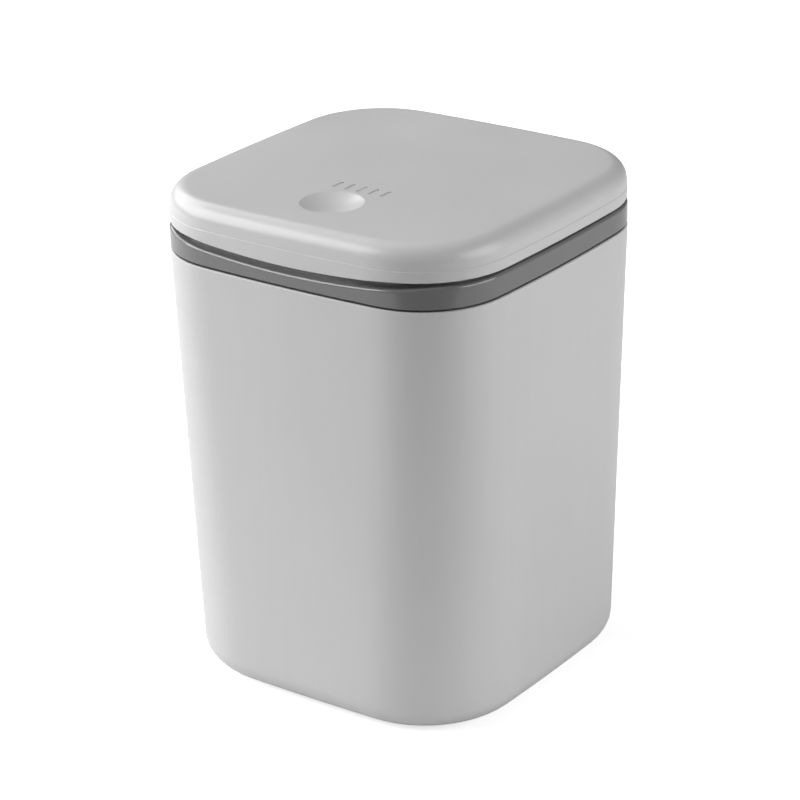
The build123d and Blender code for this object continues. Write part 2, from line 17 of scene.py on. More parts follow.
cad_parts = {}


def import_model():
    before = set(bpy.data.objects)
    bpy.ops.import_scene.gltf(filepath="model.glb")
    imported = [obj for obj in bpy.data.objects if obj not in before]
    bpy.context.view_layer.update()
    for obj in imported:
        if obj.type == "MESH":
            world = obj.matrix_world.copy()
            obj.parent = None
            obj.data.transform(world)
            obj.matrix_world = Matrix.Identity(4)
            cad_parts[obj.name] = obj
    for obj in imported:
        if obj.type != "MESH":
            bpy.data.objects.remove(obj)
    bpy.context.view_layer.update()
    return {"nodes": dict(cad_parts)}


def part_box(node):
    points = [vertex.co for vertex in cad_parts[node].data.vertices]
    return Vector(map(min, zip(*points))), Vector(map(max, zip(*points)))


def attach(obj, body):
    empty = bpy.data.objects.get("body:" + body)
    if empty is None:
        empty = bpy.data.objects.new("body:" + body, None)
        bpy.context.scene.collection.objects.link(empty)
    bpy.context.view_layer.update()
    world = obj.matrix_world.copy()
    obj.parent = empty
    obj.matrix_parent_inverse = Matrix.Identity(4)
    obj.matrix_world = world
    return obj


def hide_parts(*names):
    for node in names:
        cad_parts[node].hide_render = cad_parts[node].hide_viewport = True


Span = tuple[float, float]
Colour = tuple[float, float, float, float]

LOG = logging.getLogger("bin")
MM = 0.001                 # metres
WELD = 0.01                # mm, closer points of a swept mesh are one point
NODE_WELD = 0.002          # mm, the same for the mesh of a CAD node
ON_PLANE = 0.001           # mm, closer points lie on a cutting plane
BEYOND = 1.0               # mm that a cutting tool reaches past what it cuts
SIDES = (-1, 1)            # left and right
X, Z = 0, 2
UP = Vector((0, 0, 1)).freeze()
NOISE_SPAN = (0.3, 0.7)    # a noise's grey, from its dark spots to its pale ones


class Slot(Enum):
    """Material slots of the record."""

    BODY = "body_plastic"
    LID = "lid_plastic"
    COLLAR = "collar_plastic"
    LATCH = "latch_plastic"
    SLIDER = "slider_plastic"
    STEEL = "steel"
    RUBBER = "rubber"


class Body(Enum):
    """Bodies that a piece can ride on."""

    BUCKET = "bucket"
    COLLAR = "collar"
    LID = "lid"
    SLIDER = "slider"


class Join(Enum):
    """Ways to combine a piece with a tool."""

    ADD = "UNION"
    CUT = "DIFFERENCE"
    KEEP_COMMON = "INTERSECT"


# ---------------------------------------------------------------------------- finishes


def grey(level: float) -> Colour:
    """Returns a plain grey."""
    return (level, level, level, 1.0)


class NodeGraph:
    """Short way to write the node tree of a material or a world."""

    def __init__(self, owner: bpy.types.Material | bpy.types.World) -> None:
        """Empties the tree.

        Args:
            owner: The material or the world.
        """
        owner.use_nodes = True
        self.tree = owner.node_tree
        self.tree.nodes.clear()

    def add(self, kind: str, **settings: object) -> bpy.types.Node:
        """Adds a node.

        Args:
            kind: The node's type, without the ShaderNode prefix.
            **settings: Attributes to set; a name that starts with in_ sets that input instead.

        Returns:
            The new node.
        """
        node = self.tree.nodes.new("ShaderNode" + kind)
        for key, value in settings.items():
            if key.startswith("in_"):
                node.inputs[key[3:].replace("_", " ")].default_value = value
            else:
                setattr(node, key, value)
        return node

    def link(self, source: bpy.types.NodeSocket, target: bpy.types.NodeSocket) -> None:
        """Joins two sockets."""
        self.tree.links.new(source, target)

    def surface(self, **settings: object) -> bpy.types.Node:
        """Adds a material's output and a principled shader joined to it.

        Args:
            **settings: The shader's settings, as for add.

        Returns:
            The shader.
        """
        shader = self.add("BsdfPrincipled", **settings)
        output = self.add("OutputMaterial")
        self.link(shader.outputs["BSDF"], output.inputs["Surface"])
        return shader

    def noise(self, size: float, detail: float, stretch: float = 1.0) -> bpy.types.NodeSocket:
        """Adds a noise on Object coordinates.

        Args:
            size: Size of the noise's spots, in metres.
            detail: Number of finer octaves.
            stretch: How many times longer the spots are along Z.

        Returns:
            The noise's grey output.
        """
        coordinates = self.add("TexCoord")
        mapping = self.add("Mapping")
        mapping.inputs["Scale"].default_value = (1.0, 1.0, 1.0 / stretch)
        noise = self.add("TexNoise", in_Scale=1 / size, in_Detail=detail)
        self.link(coordinates.outputs["Object"], mapping.inputs["Vector"])
        self.link(mapping.outputs["Vector"], noise.inputs["Vector"])
        return noise.outputs["Fac"]

    def span(self, source: bpy.types.NodeSocket, low: float, high: float) -> bpy.types.NodeSocket:
        """Spreads the middle of a grey pattern over a span of values.

        Args:
            source: The pattern, from 0 to 1.
            low: Value in its dark spots.
            high: Value in its pale spots.

        Returns:
            The new value.
        """
        dark, pale = NOISE_SPAN
        spread = self.add("MapRange", in_From_Min=dark, in_From_Max=pale,
                          in_To_Min=low, in_To_Max=high)
        self.link(source, spread.inputs["Value"])
        return spread.outputs["Result"]

    def bumps(self, layers: list[tuple[bpy.types.NodeSocket, float]],
              shader: bpy.types.Node) -> None:
        """Stacks bump layers on a shader.

        Args:
            layers: Pattern and height in metres of each layer.
            shader: The shader that gets the normal.
        """
        normal = None
        for pattern, height in layers:
            bump = self.add("Bump", in_Strength=1.0, in_Distance=height)
            self.link(pattern, bump.inputs["Height"])
            if normal is not None:
                self.link(normal, bump.inputs["Normal"])
            normal = bump.outputs["Normal"]
        self.link(normal, shader.inputs["Normal"])


@dataclass(frozen=True)
class MouldedPlastic:
    """Injection moulded plastic: faint mottle, flow streaks, uneven gloss, fine tool grain.

    Sizes and heights are in metres. Mottle, streak and gloss_play are shares.
    """

    name: str
    shade: float
    gloss_rough: float
    gloss_play: float = 0.1
    mottle: float = 0.015
    mottle_size: float = 0.045
    streak: float = 0.006
    streak_size: float = 0.004
    streak_stretch: float = 12.0
    grain_size: float = 0.0005
    grain_height: float = 0.000004
    wave_height: float = 0.00002
    specular: float = 0.5
    warmth: float = 0.0

    def colour(self, share: float) -> Colour:
        """Returns the finish's colour at a share of its shade."""
        level = self.shade * share
        return (level * (1 + self.warmth), level, level * (1 - self.warmth), 1.0)

    def make(self) -> bpy.types.Material:
        """Builds the material.

        Returns:
            A node material whose patterns follow Object coordinates.
        """
        material = bpy.data.materials.new(self.name)
        graph = NodeGraph(material)
        shader = graph.surface(in_Specular_IOR_Level=self.specular)
        mottle = graph.noise(self.mottle_size, detail=4.0)
        streak = graph.noise(self.streak_size, detail=2.0, stretch=self.streak_stretch)
        grain = graph.noise(self.grain_size, detail=2.0)
        depth = graph.add("Math", operation="ADD")
        graph.link(graph.span(mottle, -self.mottle, self.mottle), depth.inputs[0])
        graph.link(graph.span(streak, -self.streak, self.streak), depth.inputs[1])
        most = self.mottle + self.streak
        share = graph.add("MapRange", in_From_Min=-most, in_From_Max=most)
        graph.link(depth.outputs["Value"], share.inputs["Value"])
        ramp = graph.add("ValToRGB")
        ramp.color_ramp.elements[0].color = self.colour(1 - most)
        ramp.color_ramp.elements[1].color = self.colour(1 + most)
        graph.link(share.outputs["Result"], ramp.inputs["Fac"])
        graph.link(ramp.outputs["Color"], shader.inputs["Base Color"])
        gloss = graph.span(mottle, self.gloss_rough * (1 - self.gloss_play),
                           self.gloss_rough * (1 + self.gloss_play))
        graph.link(gloss, shader.inputs["Roughness"])
        graph.bumps([(grain, self.grain_height), (mottle, self.wave_height)], shader)
        return material


@dataclass(frozen=True)
class DrawnSteel:
    """Drawn, lightly oiled steel with fine streaks."""

    name: str
    shade: float
    gloss_rough: float
    gloss_play: float = 0.3
    dull_share: float = 0.8
    streak_size: float = 0.0004
    streak_height: float = 0.000003

    def make(self) -> bpy.types.Material:
        """Builds the material.

        Returns:
            A node material whose patterns follow Object coordinates.
        """
        material = bpy.data.materials.new(self.name)
        graph = NodeGraph(material)
        shader = graph.surface(in_Metallic=1.0)
        streaks = graph.noise(self.streak_size, detail=3.0)
        ramp = graph.add("ValToRGB")
        ramp.color_ramp.elements[0].color = grey(self.shade * self.dull_share)
        ramp.color_ramp.elements[1].color = grey(self.shade)
        graph.link(streaks, ramp.inputs["Fac"])
        graph.link(ramp.outputs["Color"], shader.inputs["Base Color"])
        gloss = graph.span(streaks, self.gloss_rough * (1 - self.gloss_play),
                           self.gloss_rough * (1 + self.gloss_play))
        graph.link(gloss, shader.inputs["Roughness"])
        graph.bumps([(streaks, self.streak_height)], shader)
        return material


FINISHES = {
    Slot.BODY: MouldedPlastic("body_satin_plastic", shade=0.60, gloss_rough=0.34, specular=0.45),
    Slot.LID: MouldedPlastic("lid_satin_plastic", shade=0.605, gloss_rough=0.31, specular=0.45),
    Slot.COLLAR: MouldedPlastic("collar_gloss_plastic", shade=0.18, gloss_rough=0.10, specular=0.6),
    Slot.LATCH: MouldedPlastic("latch_plastic_grey", shade=0.25, gloss_rough=0.35),
    Slot.SLIDER: MouldedPlastic("slider_plastic_white", shade=0.72, gloss_rough=0.35, warmth=0.01),
    Slot.STEEL: DrawnSteel("spring_steel", shade=0.62, gloss_rough=0.28),
    Slot.RUBBER: MouldedPlastic("pad_rubber", shade=0.08, gloss_rough=0.7),
}


class Dresser:
    """Makes each finish once and gives it to pieces."""

    def __init__(self) -> None:
        """Starts with no material made."""
        self.made: dict[Slot, bpy.types.Material] = {}

    def material(self, slot: Slot) -> bpy.types.Material:
        """Returns the material of a slot, made on first use.

        Args:
            slot: The record's slot.

        Returns:
            The slot's material.
        """
        if slot not in self.made:
            self.made[slot] = FINISHES[slot].make()
        return self.made[slot]

    def dress(self, piece: bpy.types.Object, slot: Slot, body: Body) -> bpy.types.Object:
        """Gives a piece the finish of a slot, and its body.

        Args:
            piece: The piece, in place.
            slot: The record's slot.
            body: The body that the piece rides on.

        Returns:
            The same piece.
        """
        piece.data.materials.clear()
        piece.data.materials.append(self.material(slot))
        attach(piece, body.value)
        LOG.info("%s rides on %s in %s", piece.name, body.value, slot.value)
        return piece


# ---------------------------------------------------------------------------- outlines


@dataclass(frozen=True)
class BowedSquare:
    """Square with bowed sides and round corners, made of eight tangent arcs."""

    half: float
    corner: float
    bow: float

    @property
    def rise(self) -> float:
        """How far a side's arc centre lies from the middle."""
        return self.bow - self.half

    @property
    def centre(self) -> float:
        """Both coordinates of a corner's arc centre."""
        return (math.sqrt(2 * (self.bow - self.corner) ** 2 - self.rise ** 2) - self.rise) / 2

    @property
    def side_angle(self) -> float:
        """Angle of a side's arc."""
        return 2 * math.atan2(self.centre, self.centre + self.rise)

    def inset(self, gap: float) -> "BowedSquare":
        """Returns the outline that lies a gap inside this one."""
        return BowedSquare(self.half - gap, self.corner - gap, self.bow - gap)

    def towards(self, other: "BowedSquare", part: float) -> "BowedSquare":
        """Works out the outline a part of the way to another one.

        Args:
            other: The other outline.
            part: 0 for this outline, 1 for the other.

        Returns:
            The outline between.
        """
        return BowedSquare(self.half + part * (other.half - self.half),
                           self.corner + part * (other.corner - self.corner),
                           self.bow + part * (other.bow - self.bow))

    def start(self, gap: float, level: float) -> Vector:
        """Returns the point, a gap inside the outline, where the right side's arc starts."""
        way = Matrix.Rotation(-self.side_angle / 2, 3, "Z") @ Vector((self.bow - gap, 0, 0))
        return way + Vector((-self.rise, 0, level))


@dataclass(frozen=True)
class Sag:
    """Shallow arc that sinks an edge at the front, with soft ends."""

    depth: float
    radius: float
    soft: float = 40.0

    def at(self, x: float) -> float:
        """Depth of the sag.

        Args:
            x: Distance from the middle.

        Returns:
            How far the edge lies below its level, 0 past the ends.
        """
        foot = self.radius - self.depth
        end = math.sqrt((self.radius + self.soft) ** 2 - (foot + self.soft) ** 2)
        turn = end * self.radius / (self.radius + self.soft)
        x = abs(x)
        if x >= end:
            return 0.0
        if x >= turn:
            return self.soft - math.sqrt(self.soft ** 2 - (end - x) ** 2)
        return math.sqrt(self.radius ** 2 - x ** 2) - foot


# ---------------------------------------------------------------------------- mesh work


class Workpiece:
    """A mesh that is being made, in millimetres. Its loops are found by name.

    Each point keeps the number of its loop's name. Number 0 is for points of no loop.
    """

    side_steps = 20
    corner_steps = 12
    loop_points = 4 * (side_steps + corner_steps)
    ball_rings = 80

    def __init__(self) -> None:
        """Starts empty."""
        self.shape = bmesh.new()
        self.row = self.shape.verts.layers.int.new("row")
        self.names: list[str] = [""]

    def sweep(self, outline: BowedSquare, rows: dict[str, Span]) -> None:
        """Sweeps a profile once round an outline.

        Args:
            outline: The outline.
            rows: Name of each of the profile's points, with its gap inside the outline and level.
        """
        verts = []
        for name, (gap, level) in rows.items():
            vert = self.shape.verts.new(outline.start(gap, level))
            vert[self.row] = len(self.names)
            self.names.append(name)
            verts.append(vert)
        edges = [self.shape.edges.new(pair) for pair in zip(verts, verts[1:])]
        geom = verts + edges
        for quarter in range(4):
            turn = Matrix.Rotation(math.pi / 2 * quarter, 3, "Z")
            side = turn @ Vector((-outline.rise, 0, 0))
            corner = turn @ Vector((outline.centre, outline.centre, 0))
            stretches = ((side, outline.side_angle, self.side_steps),
                         (corner, math.pi / 2 - outline.side_angle, self.corner_steps))
            for middle, angle, steps in stretches:
                spun = bmesh.ops.spin(self.shape, geom=geom, cent=middle, axis=(0, 0, 1),
                                      angle=angle, steps=steps)
                geom = spun["geom_last"]
        self.weld()

    def weld(self) -> None:
        """Merges points that lie in one place."""
        bmesh.ops.remove_doubles(self.shape, verts=self.shape.verts, dist=WELD)

    def bowl(self, name: str, centre: Vector, radius: float, level: float) -> None:
        """Adds the part of a ball below a level, with its rim as a named loop.

        Args:
            name: Name of the rim.
            centre: The ball's centre.
            radius: The ball's radius.
            level: Where the ball is cut off.
        """
        made = bmesh.ops.create_uvsphere(self.shape, u_segments=self.loop_points,
                                         v_segments=self.ball_rings, radius=radius,
                                         matrix=Matrix.Translation(centre))
        verts = made["verts"]
        faces = dict.fromkeys(face for vert in verts for face in vert.link_faces)
        edges = dict.fromkeys(edge for vert in verts for edge in vert.link_edges)
        cut = bmesh.ops.bisect_plane(self.shape, geom=[*verts, *edges, *faces], dist=ON_PLANE,
                                     plane_co=level * UP, plane_no=UP, clear_outer=True)
        for item in cut["geom_cut"]:
            if isinstance(item, bmesh.types.BMVert):
                item[self.row] = len(self.names)
        self.names.append(name)

    def verts(self, name: str) -> list[bmesh.types.BMVert]:
        """Returns the points of a named loop."""
        number = self.names.index(name)
        return [vert for vert in self.shape.verts if vert[self.row] == number]

    def loop(self, name: str) -> list[bmesh.types.BMEdge]:
        """Finds the edges of a loop.

        Args:
            name: The loop's name.

        Returns:
            Its edges.
        """
        number = self.names.index(name)
        return [edge for edge in self.shape.edges
                if all(vert[self.row] == number for vert in edge.verts)]

    def bridge(self, first: str, second: str) -> None:
        """Closes the gap between two named loops."""
        bmesh.ops.bridge_loops(self.shape, edges=self.loop(first) + self.loop(second))

    def close(self, name: str) -> None:
        """Fills a named loop with one face."""
        bmesh.ops.edgeloop_fill(self.shape, edges=self.loop(name))

    def sink(self, name: str, sag: Sag) -> None:
        """Lowers the front half of a named loop.

        Args:
            name: The loop's name.
            sag: How far it is lowered.
        """
        for vert in self.verts(name):
            if vert.co.y < 0:
                vert.co.z -= sag.at(vert.co.x)

    def soften(self, edges: list[bmesh.types.BMEdge], radius: float, segments: int = 4) -> None:
        """Rounds edges, or chamfers them with one segment.

        Args:
            edges: The edges.
            radius: How far the rounding reaches from the edge.
            segments: Number of facets.
        """
        bmesh.ops.bevel(self.shape, geom=edges, offset=radius, offset_type="OFFSET",
                        segments=segments, profile=0.5, affect="EDGES", material=-1)

    def block(self, x: Span, y: Span, z: Span) -> list[bmesh.types.BMEdge]:
        """Adds a box.

        Args:
            x: Its span along X.
            y: Its span along Y.
            z: Its span along Z.

        Returns:
            Its edges.
        """
        verts = bmesh.ops.create_cube(self.shape, size=2.0)["verts"]
        for vert in verts:
            vert.co = [high if way > 0 else low for way, (low, high) in zip(vert.co, (x, y, z))]
        return list(dict.fromkeys(edge for vert in verts for edge in vert.link_edges))

    def rod(self, radius: float, start: Vector, end: Vector, sides: int = 48) -> None:
        """Adds a round rod.

        Args:
            radius: Its radius.
            start: Middle of one end.
            end: Middle of the other end.
            sides: Number of sides.
        """
        way = end - start
        turn = way.to_track_quat("Z", "Y").to_matrix().to_4x4()
        place = Matrix.Translation((start + end) / 2) @ turn
        bmesh.ops.create_cone(self.shape, cap_ends=True, segments=sides, radius1=radius,
                              radius2=radius, depth=way.length, matrix=place)

    def prism(self, corners: list[Vector], way: Vector) -> None:
        """Adds a prism.

        Args:
            corners: Corners of one end, in order.
            way: From that end to the other.
        """
        face = self.shape.faces.new([self.shape.verts.new(corner) for corner in corners])
        grown = bmesh.ops.extrude_face_region(self.shape, geom=[face], use_keep_orig=True)
        moved = [item for item in grown["geom"] if isinstance(item, bmesh.types.BMVert)]
        bmesh.ops.translate(self.shape, verts=moved, vec=way)

    def finish(self, name: str) -> bpy.types.Object:
        """Turns the mesh to metres and puts it in the scene.

        Args:
            name: The object's name.

        Returns:
            The object. The workpiece can't be used any more.
        """
        bmesh.ops.scale(self.shape, vec=(MM, MM, MM), verts=self.shape.verts)
        bmesh.ops.recalc_face_normals(self.shape, faces=self.shape.faces)
        self.shape.verts.layers.int.remove(self.row)
        return place_mesh(name, self.shape)


def along(axis: int, edges: list[bmesh.types.BMEdge]) -> list[bmesh.types.BMEdge]:
    """Returns those of a box's edges that run along an axis."""
    return [edge for edge in edges if edge.verts[0].co[axis] != edge.verts[1].co[axis]]


def place_mesh(name: str, shape: bmesh.types.BMesh) -> bpy.types.Object:
    """Puts a bmesh in the scene as an object.

    Args:
        name: The object's name.
        shape: The bmesh, in metres, which is freed.

    Returns:
        The object.
    """
    mesh = bpy.data.meshes.new(name)
    shape.to_mesh(mesh)
    shape.free()
    piece = bpy.data.objects.new(name, mesh)
    bpy.context.scene.collection.objects.link(piece)
    return piece


def combine(piece: bpy.types.Object, tool: bpy.types.Object, way: Join) -> None:
    """Adds a tool's volume to a piece, cuts it off, or keeps what both share.

    Args:
        piece: The piece, whose mesh is replaced.
        tool: The tool, which is used up.
        way: How the two are combined.
    """
    step = piece.modifiers.new("combine", "BOOLEAN")
    step.operation = way.value
    step.object = tool
    step.solver = "EXACT"
    step.use_self = True
    seen = piece.evaluated_get(bpy.context.evaluated_depsgraph_get())
    before = piece.data
    mesh = bpy.data.meshes.new_from_object(seen)
    piece.modifiers.clear()
    piece.data = mesh
    mesh.name = piece.name
    bpy.data.meshes.remove(before)
    used = tool.data
    bpy.data.objects.remove(tool)
    bpy.data.meshes.remove(used)


def shade(piece: bpy.types.Object, sharp_degrees: float = 32.0) -> bpy.types.Object:
    """Shades a piece smooth, with sharp edges where its faces turn.

    Args:
        piece: The piece.
        sharp_degrees: Edges that turn by more than this stay sharp.

    Returns:
        The same piece.
    """
    mesh = piece.data
    mesh.polygons.foreach_set("use_smooth", [True] * len(mesh.polygons))
    mesh.set_sharp_from_angle(angle=math.radians(sharp_degrees))
    even = piece.modifiers.new("even_normals", "WEIGHTED_NORMAL")
    even.keep_sharp = True
    even.weight = 50
    return piece


def box_mm(node: str) -> tuple[Vector, Vector]:
    """Returns a node's lowest and highest corners, in millimetres."""
    low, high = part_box(node)
    return low / MM, high / MM


def middle_mm(node: str) -> Vector:
    """Returns the middle of a node's box, in millimetres."""
    low, high = box_mm(node)
    return (low + high) / 2


# ---------------------------------------------------------------------------- sub-assemblies


@dataclass
class SubAssembly:
    """Pieces that are made and dressed together. Their sizes are in millimetres."""

    dresser: Dresser
    nodes: dict[str, bpy.types.Object]

    def carry(self, node: str, slot: Slot, body: Body) -> bpy.types.Object:
        """Shows a node whose shape is right, as a merged and smooth shaded copy.

        Args:
            node: The node.
            slot: The record's slot.
            body: The body that the node belongs to.

        Returns:
            The copy.
        """
        shape = bmesh.new()
        shape.from_mesh(self.nodes[node].data)
        bmesh.ops.remove_doubles(shape, verts=shape.verts, dist=NODE_WELD * MM)
        piece = shade(place_mesh(node + "_smooth", shape))
        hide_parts(node)
        return self.dresser.dress(piece, slot, body)


@dataclass
class Bucket(SubAssembly):
    """Tapered bucket with four pads in its base."""

    pads: tuple[str, ...] = ("foot_pad_1", "foot_pad_2", "foot_pad_3", "foot_pad_4")
    base_inset: float = 2.7
    base_corner: float = 39.1
    base_bow: float = 1190.0
    rim_corner: float = 32.3
    rim_bow: float = 730.0
    wall: float = 2.0
    floor: float = 2.4
    base_round: float = 9.6
    rim_round: float = 0.5
    rim_inner_round: float = 0.3
    recess_radius: float = 24.0
    recess_depth: float = 0.8
    pad_fit: float = 0.1

    def outline_at(self, level: float) -> BowedSquare:
        """Works out the bucket's outer outline, which tapers evenly.

        Args:
            level: Height of the outline.

        Returns:
            The outline at that height.
        """
        low, high = box_mm("outer_body")
        base = BowedSquare(high.x - self.base_inset, self.base_corner, self.base_bow)
        rim = BowedSquare(high.x, self.rim_corner, self.rim_bow)
        return base.towards(rim, (level - low.z) / (high.z - low.z))

    def shell(self) -> bpy.types.Object:
        """Makes the bucket.

        Returns:
            The bucket, not dressed.
        """
        low, high = box_mm("outer_body")
        floor_z = low.z + self.floor
        work = Workpiece()
        work.sweep(self.outline_at(low.z), {"base": (0, low.z)})
        work.sweep(self.outline_at(high.z), {"rim": (0, high.z), "rim_inside": (self.wall, high.z)})
        work.sweep(self.outline_at(floor_z), {"floor": (self.wall, floor_z)})
        work.bridge("base", "rim")
        work.bridge("rim_inside", "floor")
        work.close("base")
        work.close("floor")
        work.soften(work.loop("base"), self.base_round, segments=12)
        work.soften(work.loop("floor"), self.base_round - self.wall, segments=10)
        work.soften(work.loop("rim"), self.rim_round)
        work.soften(work.loop("rim_inside"), self.rim_inner_round, segments=2)
        bucket = work.finish("bucket_shell")
        combine(bucket, self.bosses(), Join.ADD)
        combine(bucket, self.pockets(), Join.CUT)
        return shade(bucket)

    def pocket(self, pad: str) -> tuple[Vector, float]:
        """Works out the pocket of a pad.

        Args:
            pad: The pad's node.

        Returns:
            Middle of the pocket's roof, and its radius.
        """
        low, high = box_mm(pad)
        middle = middle_mm(pad)
        return Vector((middle.x, middle.y, high.z)), (high.x - low.x) / 2 + self.pad_fit

    def bosses(self) -> bpy.types.Object:
        """Makes the discs that thicken the floor over the pockets.

        Returns:
            The discs, as one tool.
        """
        tool = Workpiece()
        for pad in self.pads:
            roof, radius = self.pocket(pad)
            tool.rod(radius + self.wall, roof, roof + self.wall * UP, sides=72)
        return tool.finish("bosses")

    def pockets(self) -> bpy.types.Object:
        """Makes the tool for the pads' pockets and the shallow recess between them.

        Returns:
            The tool.
        """
        low, _ = box_mm("outer_body")
        tool = Workpiece()
        for pad in self.pads:
            roof, radius = self.pocket(pad)
            tool.rod(radius, Vector((roof.x, roof.y, low.z - BEYOND)), roof, sides=72)
        tool.rod(self.recess_radius, (low.z - BEYOND) * UP, (low.z + self.recess_depth) * UP,
                 sides=96)
        return tool.finish("pockets")

    def build(self) -> None:
        """Makes and dresses the bucket and its pads."""
        bucket = self.shell()
        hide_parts("outer_body")
        self.dresser.dress(bucket, Slot.BODY, Body.BUCKET)
        for pad in self.pads:
            self.carry(pad, Slot.RUBBER, Body.BUCKET)


@dataclass
class Collar(SubAssembly):
    """Glossy ring in the bucket's rim, which carries the hinge and the latch."""

    corner: float = 32.2
    bow: float = 729.9
    groove: float = 0.8
    band_height: float = 8.1
    seat_gap: float = 1.7
    neck_gap: float = 3.4
    neck_wall: float = 1.8
    neck_height: float = 3.4
    neck_round: float = 0.5
    band_round: float = 1.1
    band_chamfer: float = 0.3
    # shade film: 0.1 mm of the dark collar plastic over the rim's top inside the groove, painted
    # shade that darkens the shadow gap
    shade_film_gap: float = 0.55
    shade_film_thickness: float = 0.1
    skirt_gap: float = 2.4
    dip: Sag = Sag(3.3, 490.0)
    rear_half: float = 54.0
    rear_relief: float = 1.0
    shelf_thickness: float = 2.0
    shelf_reach: float = 4.5
    guard_half: float = 19.4
    guard_thickness: float = 1.0
    guard_gap: float = 1.0
    barrel_radius: float = 3.2
    pin_fit: float = 0.02
    ear_width: float = 7.8
    rest_place: float = 6.4
    rest_width: float = 2.4
    rest_drop: float = 2.6
    deck_drop: float = 1.0
    deck_half: float = 24.0
    deck_reach: float = 15.5
    deck_thickness: float = 2.0
    deck_corner: float = 5.2
    gusset_height: float = 9.0
    gusset_thickness: float = 1.6
    boss_radius: float = 3.0
    boss_depth: float = 6.1
    pilot_radius: float = 0.85
    pilot_depth: float = 4.6
    housing_half: float = 7.6
    housing_fit: float = 0.3

    @property
    def outline(self) -> BowedSquare:
        """Outline of the band."""
        return BowedSquare(box_mm("collar_frame")[1].x, self.corner, self.bow)

    @property
    def rim_z(self) -> float:
        """Level of the bucket's rim, which the thin dark film of painted shade rests on."""
        return box_mm("outer_body")[1].z

    @property
    def band_z(self) -> float:
        """Level of the band's foot."""
        return self.rim_z + self.groove

    @property
    def ledge_z(self) -> float:
        """Level of the ledge between band and neck."""
        return self.band_z + self.band_height

    @property
    def neck_z(self) -> float:
        """Level of the neck's top."""
        return self.ledge_z + self.neck_height

    @property
    def shelf_z(self) -> float:
        """Level of the shelf at the back."""
        return self.ledge_z - self.rear_relief

    @property
    def shelf_foot_z(self) -> float:
        """Level of the shelf's underside."""
        return self.shelf_z - self.shelf_thickness

    @property
    def deck_z(self) -> float:
        """Level of the latch deck."""
        return self.ledge_z - self.deck_drop

    @property
    def mouth_half(self) -> float:
        """Half of the mouth's width."""
        return self.outline.half - (self.neck_gap + self.neck_wall)

    @property
    def shelf_y(self) -> float:
        """How far from the middle the shelf starts."""
        return self.mouth_half - self.shelf_reach

    def ring(self) -> bpy.types.Object:
        """Makes the band with its neck and skirt, and a thin dark film on the rim as painted shade
        in the groove.

        Returns:
            The ring, still closed at the back.
        """
        low, _ = box_mm("collar_frame")
        mouth = self.neck_gap + self.neck_wall
        # top of the thin dark film on the rim, painted shade that blackens the groove under the
        # band
        shade_film_z = self.rim_z + self.shade_film_thickness
        skirt = Bucket(self.dresser, self.nodes).outline_at(low.z).inset(self.skirt_gap)
        work = Workpiece()
        work.sweep(self.outline, {
            "mouth_foot": (mouth, low.z), "neck_inside": (mouth, self.neck_z),
            "neck_top": (self.neck_gap, self.neck_z), "ledge_inside": (self.neck_gap, self.ledge_z),
            "ledge": (0, self.ledge_z), "band_foot": (0, self.band_z),
            "seat_top": (self.seat_gap, self.band_z), "seat": (self.seat_gap, shade_film_z),
            "shade_film_top": (self.shade_film_gap, shade_film_z), "shade_film": (self.shade_film_gap, self.rim_z)})
        work.sweep(skirt, {"skirt_top": (0, self.rim_z), "skirt_foot": (0, low.z)})
        work.bridge("shade_film", "skirt_top")
        work.bridge("skirt_foot", "mouth_foot")
        work.sink("ledge", self.dip)
        work.sink("ledge_inside", self.dip)
        work.soften(work.loop("ledge"), self.band_round, segments=6)
        work.soften(work.loop("band_foot"), self.band_chamfer, segments=1)
        work.soften(work.loop("neck_inside"), self.neck_round, segments=3)
        work.soften(work.loop("neck_top"), self.neck_round, segments=3)
        return work.finish("collar_ring")

    def rear_gap(self) -> bpy.types.Object:
        """Makes the tool that takes the neck away at the back, for the hinge.

        Returns:
            The tool.
        """
        tool = Workpiece()
        tool.block((-self.rear_half, self.rear_half), (0, box_mm("collar_frame")[1].y + BEYOND),
                   (self.shelf_z, self.neck_z + BEYOND))
        return tool.finish("rear_gap")

    def shelf(self) -> bpy.types.Object:
        """Makes the shelf at the back, clipped to the neck's outline.

        Returns:
            The shelf.
        """
        plate = Workpiece()
        plate.block((-self.rear_half, self.rear_half), (self.shelf_y, self.outline.half),
                    (self.shelf_foot_z, self.shelf_z))
        shelf = plate.finish("shelf")
        neck = Workpiece()
        neck.sweep(self.outline, {"low": (self.neck_gap, self.shelf_foot_z - BEYOND),
                                  "high": (self.neck_gap, self.shelf_z + BEYOND)})
        neck.close("low")
        neck.close("high")
        combine(shelf, neck.finish("neck"), Join.KEEP_COMMON)
        return shelf

    def fittings(self) -> bpy.types.Object:
        """Makes what the hinge and the latch are fixed to.

        Returns:
            All of it, as one tool.
        """
        tool = Workpiece()
        self.add_hinge_seats(tool)
        self.add_deck(tool)
        return tool.finish("fittings")

    def add_hinge_seats(self, tool: Workpiece) -> None:
        """Adds the guard behind the hinge, the two ears and the springs' rests.

        Args:
            tool: The workpiece that gets them.
        """
        pin = middle_mm("hinge_pin")
        pin_end = box_mm("hinge_pin")[1].x
        guard = box_mm("collar_frame")[1].y - self.guard_gap
        tool.block((-self.guard_half, self.guard_half), (guard - self.guard_thickness, guard),
                   (self.shelf_foot_z, pin.z + self.barrel_radius))
        for side in SIDES:
            ends = sorted((side * pin_end, side * (pin_end - self.ear_width)))
            ear = tool.block(tuple(ends),
                             (pin.y - self.barrel_radius, pin.y + self.barrel_radius),
                             (self.shelf_foot_z, pin.z + self.barrel_radius))
            top = [edge for edge in along(X, ear) if edge.verts[0].co.z > pin.z]
            tool.soften(top, self.barrel_radius, segments=12)
            tool.weld()  # the two roundings meet on top
            leg = side * self.rest_place
            tool.block((leg - self.rest_width / 2, leg + self.rest_width / 2),
                       (self.shelf_y, self.shelf_y + self.rest_width),
                       (self.shelf_foot_z, pin.z - self.rest_drop))

